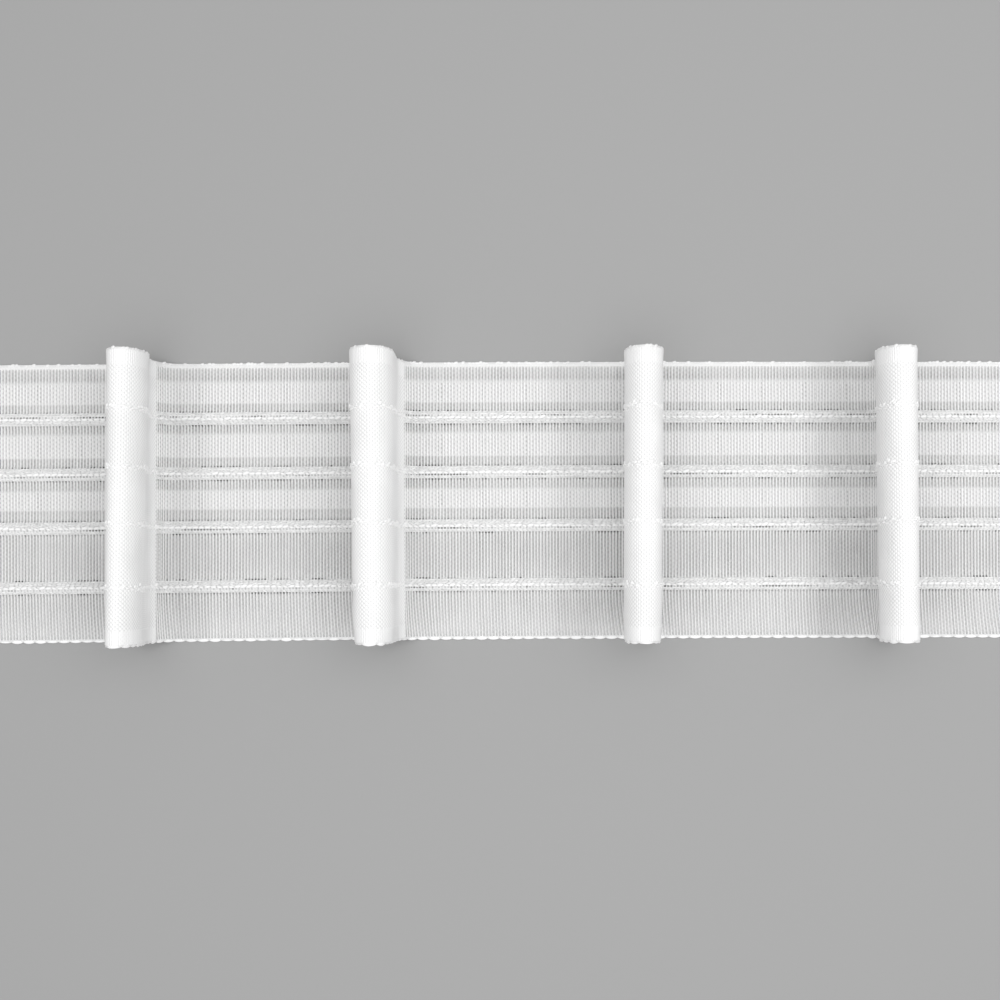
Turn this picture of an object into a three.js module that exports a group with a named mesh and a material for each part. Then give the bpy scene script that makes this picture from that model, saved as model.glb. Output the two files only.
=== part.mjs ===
// A cut length of woven curtain heading tape, lying on a surface with its pleats up.
// Four drawcords run along it in raised woven channels and hold it in four rounded pleats.
// Units are millimetres. X runs along the tape, Y across it and Z up.

import * as THREE from 'three';

// The cut length as it lies, between its two plain cut ends
const LAID_LENGTH = 284;
const TAPE_WIDTH = 75;
const SHEET_THICKNESS = 1;

// How far the tape bends sideways between its middle and its ends, and how much less wide it lies at its right end
const EDGE_BOW = 0.4;
const BOW_LEVEL = 0.276;
const WIDTH_LOSS = 0.8;

// The drawcords, measured from the upper selvedge
const CORD_FROM_EDGE = [14.9, 29.7, 44.2, 60.2];
const CORD_DIAMETER = 1;
const CORD_SIDES = 8;
const CORD_LIFT = 0.15;
const CORD_CLEARANCE = 0.3;

// Half widths of the raised channel over a cord, inside and outside
const CHANNEL_INSIDE = {
  foot: CORD_DIAMETER / 2 + 1.5 * CORD_CLEARANCE,
  crest: CORD_DIAMETER / 2 + CORD_CLEARANCE,
};
const CHANNEL_OUTSIDE = { foot: 1.9, crest: 1.3 };
const CHANNEL_HEIGHT = CORD_LIFT + CORD_DIAMETER + CORD_CLEARANCE;

// How far in from a selvedge a pleat's end flares
const FLARE_REACH = 5;

// Each pleat is a loop of cloth on a narrow neck. The sizes are of the cloth's under face.
// A pair gives the value at the upper selvedge and at the lower one.
//   neckX       where the neck stands along the tape
//   neckHalf    half the gap between the two layers at the neck
//   neckRise    how high the foot has become a neck
//   loopX       where the loop's middle is along the tape, so the pleat leans from neckX to it
//   loopHalf    half the loop's inside width
//   height      the loop's inside height
//   flare       how much the loop's half width grows at its two ends
//   footLeft    how far the foot spreads over the flat to the left
//   footRight   and to the right
const PLEATS = [
  { neckX: [-94.2, -94.8], neckHalf: 1.2, neckRise: 9.5, loopX: [-94.3, -95.4], loopHalf: [3.6, 2.7],
    height: [30.0, 31.2], flare: [0.2, 0.1], footLeft: 5, footRight: 7.5 },
  { neckX: [-29.0, -29.1], neckHalf: 1.2, neckRise: 9.5, loopX: [-31.9, -31.8], loopHalf: [4.4, 3.9],
    height: [30.5, 29.5], flare: [0.1, -0.3], footLeft: 5.5, footRight: 7.5 },
  { neckX: [39.3, 39.1], neckHalf: 1.2, neckRise: 7.5, loopX: [37.8, 37.1], loopHalf: [3.7, 3.7],
    height: [29.7, 30.2], flare: [0.25, -0.2], footLeft: 3.2, footRight: 3 },
  { neckX: [104.2, 104.5], neckHalf: 1.2, neckRise: 8, loopX: [102.4, 102.7], loopHalf: [3.8, 3.6],
    height: [29.6, 30.8], flare: [0.2, 0.1], footLeft: 4.5, footRight: 5 },
];

// A loop has its full width this far below its top, where its rounded crown begins
const CROWN_DEPTH = 8.5;

// Steps along the section
const FOOT_STEPS = 4;
const FLANK_STEPS = 4;
const CROWN_STEPS = 8;
const FLAT_STEPS = 2;
const CORD_STEPS = 8;

const lerp = THREE.MathUtils.lerp;
const ease = (t) => 0.5 - 0.5 * Math.cos(Math.PI * THREE.MathUtils.clamp(t, 0, 1));

// Where a point lies across the tape: it bends up in the middle and narrows a little to the right
function acrossAt(x, fromEdge) {
  const bow = EDGE_BOW * (Math.cos((Math.PI * x) / LAID_LENGTH) - BOW_LEVEL);
  const width = 1 - (WIDTH_LOSS * x) / (LAID_LENGTH * TAPE_WIDTH);
  return (TAPE_WIDTH / 2 - fromEdge) * width + bow;
}

// One pleat's sizes at a distance from the upper selvedge
function pleatAt(pleat, fromEdge) {
  const along = THREE.MathUtils.clamp(fromEdge / TAPE_WIDTH, 0, 1);
  const upperFlare = pleat.flare[0] * Math.max(0, 1 - fromEdge / FLARE_REACH);
  const lowerFlare = pleat.flare[1] * Math.max(0, 1 - (TAPE_WIDTH - fromEdge) / FLARE_REACH);
  const height = lerp(pleat.height[0], pleat.height[1], along);
  const half = lerp(pleat.loopHalf[0], pleat.loopHalf[1], along) + upperFlare + lowerFlare;
  return {
    ...pleat,
    neckX: lerp(pleat.neckX[0], pleat.neckX[1], along),
    loopX: lerp(pleat.loopX[0], pleat.loopX[1], along),
    half,
    crownFrom: height - CROWN_DEPTH,
  };
}

// A point of the foot, 0 at the flat and 1 at the neck; side is -1 on the left and 1 on the right
function footPoint(p, side, t) {
  const spread = side < 0 ? p.footLeft : p.footRight;
  const angle = (t * Math.PI) / 2;
  const x = p.neckX + side * (p.neckHalf + spread * (1 - Math.sin(angle)));
  return [x, p.neckRise * (1 - Math.cos(angle))];
}

// A point of the flank, 0 at the neck and 1 where the loop has its full width
function flankPoint(p, side, t) {
  const z = lerp(p.neckRise, p.crownFrom, t);
  const middle = lerp(p.neckX, p.loopX, ease(t));
  return [middle + side * lerp(p.neckHalf, p.half, ease(t)), z];
}

// A point of the rounded crown, 0 at the left and 1 at the right
function crownPoint(p, t) {
  const angle = Math.PI * (1 - t);
  return [p.loopX + p.half * Math.cos(angle), p.crownFrom + CROWN_DEPTH * Math.sin(angle)];
}

// The section of the under face along the tape at one distance from the upper selvedge
function sectionAt(fromEdge) {
  const points = [];
  let flatStart = -LAID_LENGTH / 2;
  const addFlat = (flatEnd) => {
    for (let i = 0; i < FLAT_STEPS; i += 1) points.push([lerp(flatStart, flatEnd, i / FLAT_STEPS), 0]);
  };
  for (const pleat of PLEATS) {
    const p = pleatAt(pleat, fromEdge);
    addFlat(footPoint(p, -1, 0)[0]);
    for (let i = 0; i < FOOT_STEPS; i += 1) points.push(footPoint(p, -1, i / FOOT_STEPS));
    for (let i = 0; i <= FLANK_STEPS; i += 1) points.push(flankPoint(p, -1, i / FLANK_STEPS));
    for (let i = 0; i <= CROWN_STEPS; i += 1) points.push(crownPoint(p, i / CROWN_STEPS));
    for (let i = FLANK_STEPS; i >= 0; i -= 1) points.push(flankPoint(p, 1, i / FLANK_STEPS));
    for (let i = FOOT_STEPS - 1; i >= 1; i -= 1) points.push(footPoint(p, 1, i / FOOT_STEPS));
    flatStart = footPoint(p, 1, 0)[0];
  }
  addFlat(LAID_LENGTH / 2);
  points.push([LAID_LENGTH / 2, 0]);
  return points;
}

// The direction square to a section at each point, pointing out of the loops and up from the flats
function sectionNormals(points) {
  return points.map((point, i) => {
    const before = points[Math.max(i - 1, 0)];
    const after = points[Math.min(i + 1, points.length - 1)];
    const isFlat = point[1] === 0;
    const along = new THREE.Vector2(after[0] - before[0], isFlat ? 0 : after[1] - before[1]).normalize();
    return [-along.y, along.x];
  });
}

// Lines along the tape: where each lies on the under and the upper face, and if it rides on a cord
function lengthwiseLines() {
  const plain = (fromEdge) => ({ under: fromEdge, upper: fromEdge, onCord: false });
  const lines = [plain(0), plain(FLARE_REACH)];
  CORD_FROM_EDGE.forEach((cord, k) => {
    const { foot: inFoot, crest: inCrest } = CHANNEL_INSIDE;
    const { foot: outFoot, crest: outCrest } = CHANNEL_OUTSIDE;
    if (k > 0) lines.push(plain((CORD_FROM_EDGE[k - 1] + cord) / 2));
    lines.push({ under: cord - inFoot, upper: cord - outFoot, onCord: false });
    lines.push({ under: cord - inCrest, upper: cord - outCrest, onCord: true });
    lines.push({ under: cord + inCrest, upper: cord + outCrest, onCord: true });
    lines.push({ under: cord + inFoot, upper: cord + outFoot, onCord: false });
  });
  lines.push(plain(TAPE_WIDTH - FLARE_REACH), plain(TAPE_WIDTH));
  return lines;
}

// One line's points on the under or the upper face
function linePoints(line, isUpper) {
  const fromEdge = isUpper ? line.upper : line.under;
  const section = sectionAt(fromEdge);
  const normals = sectionNormals(section);
  const offset = isUpper ? SHEET_THICKNESS : 0;
  return section.map(([x, z], i) => {
    const carried = line.onCord ? Math.max(z, CHANNEL_HEIGHT) : z;
    return [x + normals[i][0] * offset, acrossAt(x, fromEdge), carried + normals[i][1] * offset];
  });
}

function tapeGeometry() {
  const lines = lengthwiseLines();
  const upper = lines.map((line) => linePoints(line, true));
  const under = lines.map((line) => linePoints(line, false));
  const rows = lines.length;
  const columns = upper[0].length;
  const positions = [...upper.flat(), ...under.flat()].flat();
  const up = (row, column) => row * columns + column;
  const down = (row, column) => (rows + row) * columns + column;
  const index = [];
  const quad = (a, b, c, d) => index.push(a, b, c, a, c, d);
  for (let r = 0; r < rows - 1; r += 1) {
    for (let c = 0; c < columns - 1; c += 1) {
      quad(up(r, c), up(r + 1, c), up(r + 1, c + 1), up(r, c + 1));
      quad(down(r, c), down(r, c + 1), down(r + 1, c + 1), down(r + 1, c));
    }
    quad(up(r, 0), down(r, 0), down(r + 1, 0), up(r + 1, 0));
    const last = columns - 1;
    quad(up(r, last), up(r + 1, last), down(r + 1, last), down(r, last));
  }
  for (let c = 0; c < columns - 1; c += 1) {
    quad(up(0, c), up(0, c + 1), down(0, c + 1), down(0, c));
    const last = rows - 1;
    quad(up(last, c), down(last, c), down(last, c + 1), up(last, c + 1));
  }
  const geometry = new THREE.BufferGeometry();
  geometry.setAttribute('position', new THREE.Float32BufferAttribute(positions, 3));
  geometry.setIndex(index);
  geometry.computeVertexNormals();
  return geometry;
}

// A drawcord follows the tape's sideways bend, level all the way
function cordGeometry(fromEdge) {
  const section = new THREE.Shape();
  const radius = CORD_DIAMETER / 2;
  for (let k = 0; k < CORD_SIDES; k += 1) {
    const angle = ((k + 0.5) * 2 * Math.PI) / CORD_SIDES;
    const point = [radius * Math.cos(angle), radius * Math.sin(angle)];
    if (k === 0) section.moveTo(...point);
    else section.lineTo(...point);
  }
  section.closePath();
  const options = { depth: LAID_LENGTH, steps: CORD_STEPS, bevelEnabled: false };
  const geometry = new THREE.ExtrudeGeometry(section, options);
  geometry.translate(0, 0, -LAID_LENGTH / 2);
  geometry.rotateY(Math.PI / 2);
  const place = geometry.attributes.position;
  for (let i = 0; i < place.count; i += 1) {
    place.setY(i, place.getY(i) + acrossAt(place.getX(i), fromEdge));
    place.setZ(i, place.getZ(i) + CORD_LIFT + radius);
  }
  geometry.computeVertexNormals();
  return geometry;
}

const tapeCloth = new THREE.MeshStandardMaterial({ color: 0xf2f2f0, roughness: 0.85, metalness: 0 });
const cordYarn = new THREE.MeshStandardMaterial({ color: 0xfafaf8, roughness: 0.7, metalness: 0 });

const headingTape = new THREE.Group();

const tape = new THREE.Mesh(tapeGeometry(), tapeCloth);
tape.name = 'heading_tape';
headingTape.add(tape);

CORD_FROM_EDGE.forEach((fromEdge, k) => {
  const cord = new THREE.Mesh(cordGeometry(fromEdge), cordYarn);
  cord.name = `drawcord_${k + 1}`;
  headingTape.add(cord);
});

export default headingTape;
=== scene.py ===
import math
import random

import bpy
import numpy as np
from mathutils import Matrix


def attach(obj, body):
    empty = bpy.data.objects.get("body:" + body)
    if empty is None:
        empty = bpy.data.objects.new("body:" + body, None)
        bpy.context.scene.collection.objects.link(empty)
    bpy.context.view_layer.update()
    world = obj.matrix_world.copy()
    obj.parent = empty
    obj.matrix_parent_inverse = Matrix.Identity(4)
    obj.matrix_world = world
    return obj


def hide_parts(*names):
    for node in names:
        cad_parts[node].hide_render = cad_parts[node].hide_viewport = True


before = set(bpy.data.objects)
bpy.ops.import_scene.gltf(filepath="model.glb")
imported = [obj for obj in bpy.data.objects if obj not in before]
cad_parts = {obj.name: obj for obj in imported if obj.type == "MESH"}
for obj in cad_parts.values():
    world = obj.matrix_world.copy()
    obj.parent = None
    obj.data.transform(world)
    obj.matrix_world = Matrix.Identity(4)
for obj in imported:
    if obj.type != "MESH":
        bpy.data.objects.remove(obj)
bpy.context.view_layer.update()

# Every length below is in metres, and most are given in millimetres times this
MM = 0.001

# The cut length and its section, as in the CAD model. The sizes are of the cloth's under face.
LAID_LENGTH = 284 * MM
TAPE_WIDTH = 75 * MM
EDGE_BOW = 0.4 * MM
BOW_LEVEL = 0.276
WIDTH_LOSS = 0.8 * MM
FLARE_REACH = 5 * MM
CROWN_DEPTH = 8.5 * MM
NECK_HALF = 1.2 * MM

# The pleats, in millimetres. A pair gives a size at the upper and at the lower selvedge, and flare is how
# much wider the loop is there. The closer weave starts dense_right of the way up the right foot, and
# DENSE_LEFT of the way up each left one.
PLEATS = [
    {"neck_x": (-94.2, -94.8), "neck_rise": 9.5, "loop_x": (-94.3, -95.4), "loop_half": (3.6, 2.7),
     "height": (30.0, 31.2), "flare": (0.2, 0.1), "foot_left": 5, "foot_right": 7.5, "dense_right": 0.7},
    {"neck_x": (-29.0, -29.1), "neck_rise": 9.5, "loop_x": (-31.9, -31.8), "loop_half": (4.4, 3.9),
     "height": (30.5, 29.5), "flare": (0.1, -0.3), "foot_left": 5.5, "foot_right": 7.5, "dense_right": 0.5},
    {"neck_x": (39.3, 39.1), "neck_rise": 7.5, "loop_x": (37.8, 37.1), "loop_half": (3.7, 3.7),
     "height": (29.7, 30.2), "flare": (0.25, -0.2), "foot_left": 3.2, "foot_right": 3, "dense_right": 0.78},
    {"neck_x": (104.2, 104.5), "neck_rise": 8, "loop_x": (102.4, 102.7), "loop_half": (3.8, 3.6),
     "height": (29.6, 30.8), "flare": (0.2, 0.1), "foot_left": 4.5, "foot_right": 5, "dense_right": 0.78},
]
DENSE_LEFT = 0.78

# The cloth is thinner than its solid. It lies on the floor in the flats, and at the solid's outer face in the
# pleats, once a foot has left the floor by SEATED_RISE.
SOLID_THICKNESS = 1 * MM
CLOTH_THICKNESS = 0.4 * MM
SEATED_RISE = 6 * MM

# The drawcords and the channels over them. The ribs of the flats stop at CHANNEL_TUCK from each cord.
CORD_RADIUS = 0.5 * MM
CORD_LIFT = 0.15 * MM
CHANNEL_UNDER = 1.25 * MM
CHANNEL_CREST = 0.2 * MM
CHANNEL_FOOT = 2.35 * MM
CHANNEL_TUCK = 1.7 * MM
CORD_STRANDS = 3

# Each row across the width: its cord, and its line of stitches and its slit, as offsets from the cord.
# lanes are the yarns that float along the channel.
ROWS = [
    {"cord": 14.9, "stitch": 0.15, "slit": -0.48, "lanes": (-1.4, -1.02, -0.88, 0.62, 0.98, 1.38)},
    {"cord": 29.7, "stitch": 0.16, "slit": 0.7, "lanes": (-1.4, -1.02, -0.62, -0.22, 1.12, 1.44)},
    {"cord": 44.2, "stitch": 0.1, "slit": 0.64, "lanes": (-1.4, -1.02, -0.64, -0.26, 1.06, 1.4)},
    {"cord": 60.2, "stitch": 0.1, "slit": 0.65, "lanes": (-1.4, -1.02, -0.64, -0.26, 1.08, 1.42)},
]
CORDS_FROM_EDGE = np.array([row["cord"] for row in ROWS]) * MM

# How closed the cloth is at each distance from the upper selvedge, in millimetres
COVER = [
    (0.0, 1.0), (1.1, 1.0), (1.6, 0.55), (4.2, 0.35), (5.6, 0.97), (10.4, 0.97), (11.2, 0.4), (13.0, 0.4),
    (13.3, 1.0), (16.4, 1.0), (16.8, 0.34), (18.4, 0.37), (19.6, 0.97), (25.0, 0.97), (25.6, 0.42),
    (27.7, 0.4), (28.0, 1.0), (31.2, 1.0), (31.6, 0.35), (33.7, 0.4), (34.7, 0.97), (39.1, 0.97),
    (39.7, 0.42), (42.2, 0.4), (42.6, 1.0), (45.6, 1.0), (46.1, 0.38), (58.0, 0.38), (58.4, 1.0),
    (61.5, 1.0), (62.0, 0.38), (74.2, 0.6),
]

# The holes either side of each channel, and the slits along it
HOLE_OFFSETS = (-1.88, 1.86)
HOLE_HALF_WIDTH = 0.18 * MM
SLIT_HALF_WIDTH = 0.19 * MM

# The weave: ribs across the tape, and closer ones in the pleats
RIB_PITCH = 0.85 * MM
RIB_HALF_WIDTH = 0.22 * MM
RIB_HEIGHT = 0.2 * MM
BEAD_PITCH = 1.16 * MM
PLEAT_RIB_PITCH = 0.66 * MM
PLEAT_RIB_HALF_WIDTH = 0.56 * MM
PLEAT_RIB_HEIGHT = 0.32 * MM
PLEAT_RIB_SUNK = 0.17 * MM
PLEAT_BEAD_PITCH = 1.04 * MM
PLEAT_PLAIN_END = 4 * MM
TIE_COLUMN_RIBS = 13.6

# The stitches along a row stop this far before a pleat
ROW_END_GAP = 0.4 * MM

# The selvedges, close woven for this far in, and the lower one's scallops
UPPER_BAND = 1.1 * MM
LOWER_BAND = 0.75 * MM
SCALLOP_PITCH = 3.2 * MM
SCALLOP_RISE = 0.4 * MM
SCALLOP_ROOT = 0.25 * MM

# Painted shadow on the flats beside a pleat, where the pleat shades them: each place's middle and reach, in
# millimetres, and how far it goes from white to shaded
PAINTED_PLEAT_SHADOWS = [
    {"middle": -84.2, "reach": 8.5, "share": 0.24},
    {"middle": 20.5, "reach": 9, "share": 0.26},
    {"middle": 90.2, "reach": 9.5, "share": 0.44},
]

# Steps along the section
FOOT_STEPS = 12
FLANK_STEPS = 10
CROWN_STEPS = 26
FLAT_STEPS = 14


def ease(t):
    return 0.5 - 0.5 * np.cos(math.pi * np.clip(t, 0, 1))


def smooth(t):
    t = np.clip(t, 0, 1)
    return t * t * (3 - 2 * t)


def across(x, v):
    """Where v from the upper selvedge lies. The tape bows up in the middle and narrows to the right."""
    width = 1 - WIDTH_LOSS * x / (LAID_LENGTH * TAPE_WIDTH)
    return (TAPE_WIDTH / 2 - v) * width + EDGE_BOW * (np.cos(math.pi * x / LAID_LENGTH) - BOW_LEVEL)


def pleat_sizes(pleat, from_edge):
    """One pleat's sizes at the given distances from the upper selvedge."""
    along = from_edge / TAPE_WIDTH

    def between(pair):
        return (pair[0] + (pair[1] - pair[0]) * along) * MM

    flare = pleat["flare"][0] * np.clip(1 - from_edge / FLARE_REACH, 0, 1)
    flare = flare + pleat["flare"][1] * np.clip(1 - (TAPE_WIDTH - from_edge) / FLARE_REACH, 0, 1)
    sizes = {name: pleat[name] * MM for name in ("neck_rise", "foot_left", "foot_right")}
    sizes["neck_x"] = between(pleat["neck_x"])
    sizes["loop_x"] = between(pleat["loop_x"])
    sizes["half"] = between(pleat["loop_half"]) + flare * MM
    sizes["height"] = between(pleat["height"])
    return sizes


def foot_point(p, side, t):
    spread = p["foot_left"] if side < 0 else p["foot_right"]
    angle = t * math.pi / 2
    x = p["neck_x"] + side * (NECK_HALF + spread * (1 - math.sin(angle)))
    return x, p["neck_rise"] * (1 - math.cos(angle)) + 0 * x


def flank_point(p, side, t):
    z = p["neck_rise"] + (p["height"] - CROWN_DEPTH - p["neck_rise"]) * t
    middle = p["neck_x"] + (p["loop_x"] - p["neck_x"]) * ease(t)
    return middle + side * (NECK_HALF + (p["half"] - NECK_HALF) * ease(t)), z


def crown_point(p, t):
    angle = math.pi * (1 - t)
    return p["loop_x"] + p["half"] * math.cos(angle), p["height"] - CROWN_DEPTH * (1 - math.sin(angle))


def section(from_edge):
    """The under face's section, a row for each station along it, and how dense the weave is there."""
    points = []
    dense = []
    flat_start = -LAID_LENGTH / 2 + 0 * from_edge

    def add(point, weight):
        points.append(point)
        dense.append(weight)

    def add_flat(flat_end):
        for i in range(FLAT_STEPS):
            add((flat_start + (flat_end - flat_start) * i / FLAT_STEPS, 0 * from_edge), 0.0)

    for pleat in PLEATS:
        p = pleat_sizes(pleat, from_edge)
        add_flat(foot_point(p, -1, 0)[0])
        for i in range(FOOT_STEPS):
            add(foot_point(p, -1, i / FOOT_STEPS), float(i / FOOT_STEPS > DENSE_LEFT))
        for i in range(FLANK_STEPS + 1):
            add(flank_point(p, -1, i / FLANK_STEPS), 1.0)
        for i in range(CROWN_STEPS + 1):
            add(crown_point(p, i / CROWN_STEPS), 1.0)
        for i in range(FLANK_STEPS, -1, -1):
            add(flank_point(p, 1, i / FLANK_STEPS), 1.0)
        for i in range(FOOT_STEPS - 1, 0, -1):
            add(foot_point(p, 1, i / FOOT_STEPS), float(i / FOOT_STEPS > pleat["dense_right"]))
        flat_start = foot_point(p, 1, 0)[0]
    add_flat(LAID_LENGTH / 2 + 0 * from_edge)
    add((LAID_LENGTH / 2 + 0 * from_edge, 0 * from_edge), 0.0)
    return np.array([p[0] for p in points]), np.array([p[1] for p in points]), np.array(dense)


# The cloth's place: a grid of stations along the developed length and of lines across the width
GRID_STEP = 1 * MM
GRID_LINES = np.arange(0, TAPE_WIDTH + GRID_STEP / 2, GRID_STEP)
GRID_X, GRID_Z, STATION_DENSE = section(GRID_LINES)


def grid_normals(x, z):
    """The direction out of the cloth at each station, straight up on the flats."""
    dx = np.gradient(x, axis=0)
    dz = np.gradient(z, axis=0)
    dz = np.where(z > 0, dz, 0)
    size = np.hypot(dx, dz)
    return -dz / size, dx / size


GRID_NX, GRID_NZ = grid_normals(GRID_X, GRID_Z)


def developed_length():
    """How far along the flat cut length each station is, measured on the middle line."""
    middle = len(GRID_LINES) // 2
    steps = np.hypot(np.diff(GRID_X[:, middle]), np.diff(GRID_Z[:, middle]))
    return np.concatenate([[0], np.cumsum(steps)])


STATION_U = developed_length()
CUT_LENGTH = float(STATION_U[-1])


def channel_height(v):
    """How high the cords' channels lift the under face at a distance v from the upper selvedge."""
    away = np.min(np.abs(np.asarray(v)[..., None] - CORDS_FROM_EDGE), axis=-1)
    return CHANNEL_UNDER * smooth((CHANNEL_FOOT - away) / (CHANNEL_FOOT - CHANNEL_CREST))


def on_cloth(u, v, lift):
    """Points of the cloth: u along the cut length, v from the upper selvedge, lift above the under face."""
    u, v, lift = np.broadcast_arrays(*(np.asarray(a, float) for a in (u, v, lift)))
    station = np.clip(np.searchsorted(STATION_U, u, side="right") - 1, 0, len(STATION_U) - 2)
    t = (u - STATION_U[station]) / (STATION_U[station + 1] - STATION_U[station])
    line = np.clip(v / GRID_STEP, 0, len(GRID_LINES) - 1.001)
    j = line.astype(int)
    f = line - j

    def between(grid):
        near = grid[station, j] * (1 - t) + grid[station + 1, j] * t
        far = grid[station, j + 1] * (1 - t) + grid[station + 1, j + 1] * t
        return near * (1 - f) + far * f

    x = between(GRID_X)
    z = between(GRID_Z)
    lift = lift + (SOLID_THICKNESS - CLOTH_THICKNESS) * smooth(z / SEATED_RISE)
    return np.stack([
        x + between(GRID_NX) * lift,
        across(x, v),
        np.maximum(z, channel_height(v)) + between(GRID_NZ) * lift,
    ], axis=-1)


def outward(u):
    """The direction out of the cloth at u, the same all the way across the tape."""
    middle = len(GRID_LINES) // 2
    nx = np.interp(u, STATION_U, GRID_NX[:, middle])
    nz = np.interp(u, STATION_U, GRID_NZ[:, middle])
    return np.stack([nx, 0 * nx, nz], axis=-1)


def ribbed_stretches():
    """Where the ribbed weave starts and ends along the cut length, between the pleats."""
    ribbed = STATION_DENSE < 0.5
    change = np.flatnonzero(np.diff(ribbed.astype(int)))
    marks = [0.0] + [float(STATION_U[i] + STATION_U[i + 1]) / 2 for i in change] + [CUT_LENGTH]
    return list(zip(marks[0::2], marks[1::2]))


RIBBED = ribbed_stretches()
PLEATED = [(a[1], b[0]) for a, b in zip(RIBBED[:-1], RIBBED[1:])]


def face_length(u):
    """The length along the cloth's upper face, which is longer than its under face round the crowns."""
    face = on_cloth(STATION_U, TAPE_WIDTH / 2, CLOTH_THICKNESS)
    steps = np.hypot(np.diff(face[:, 0]), np.diff(face[:, 2]))
    return np.interp(u, STATION_U, np.concatenate([[0], np.cumsum(steps)]))


def count_ribs():
    """Places along the cut length and the rib number at each: whole ribs in each stretch, evenly spaced."""
    places = [np.zeros(1)]
    numbers = [np.zeros(1)]
    for k, (start, end) in enumerate(sorted(RIBBED + PLEATED)):
        pitch = PLEAT_RIB_PITCH if k % 2 else RIB_PITCH
        inside = STATION_U[(STATION_U > start) & (STATION_U < end)]
        here = np.append(inside, end)
        along = (face_length(here) - face_length(start)) / (face_length(end) - face_length(start))
        count = round(float(face_length(end) - face_length(start)) / pitch)
        places.append(here)
        numbers.append(numbers[-1][-1] + count * along)
    return np.concatenate(places), np.concatenate(numbers)


WEAVE_PLACES, WEAVE_NUMBERS = count_ribs()


def rib_number(u):
    return np.interp(u, WEAVE_PLACES, WEAVE_NUMBERS)


def rib_place(number):
    return np.interp(number, WEAVE_NUMBERS, WEAVE_PLACES)


def rib_lean(u, v):
    """How far the ribs below the last cord lean along the tape: a little everywhere, more beside a pleat."""
    everywhere = 0.35 * MM
    before_pleat = 1.25 * MM
    before_start = 6 * MM
    before_reach = 9 * MM
    after_pleat = 0.75 * MM
    after_middle = 4 * MM
    after_reach = 6 * MM
    full_depth = 12.6 * MM
    curve = 1.5
    set_back = 0.2
    far_away = 1.0
    u, v = np.broadcast_arrays(u, v)
    to_next = np.full(u.shape, far_away)
    since = np.full(u.shape, far_away)
    for start, end in RIBBED:
        here = (u >= start) & (u <= end)
        to_next = np.where(here, np.maximum(end - u - before_start, 0), to_next)
        since = np.where(here & (start > 0), u - start, since)
    lean = everywhere + before_pleat * np.exp(-to_next / before_reach)
    lean = lean + after_pleat * np.exp(-((since - after_middle) / after_reach) ** 2)
    below = np.clip((v - CORDS_FROM_EDGE[-1] - CHANNEL_TUCK) / full_depth, 0, 1)
    return lean * (below ** curve - set_back * (below > 0))


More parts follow.
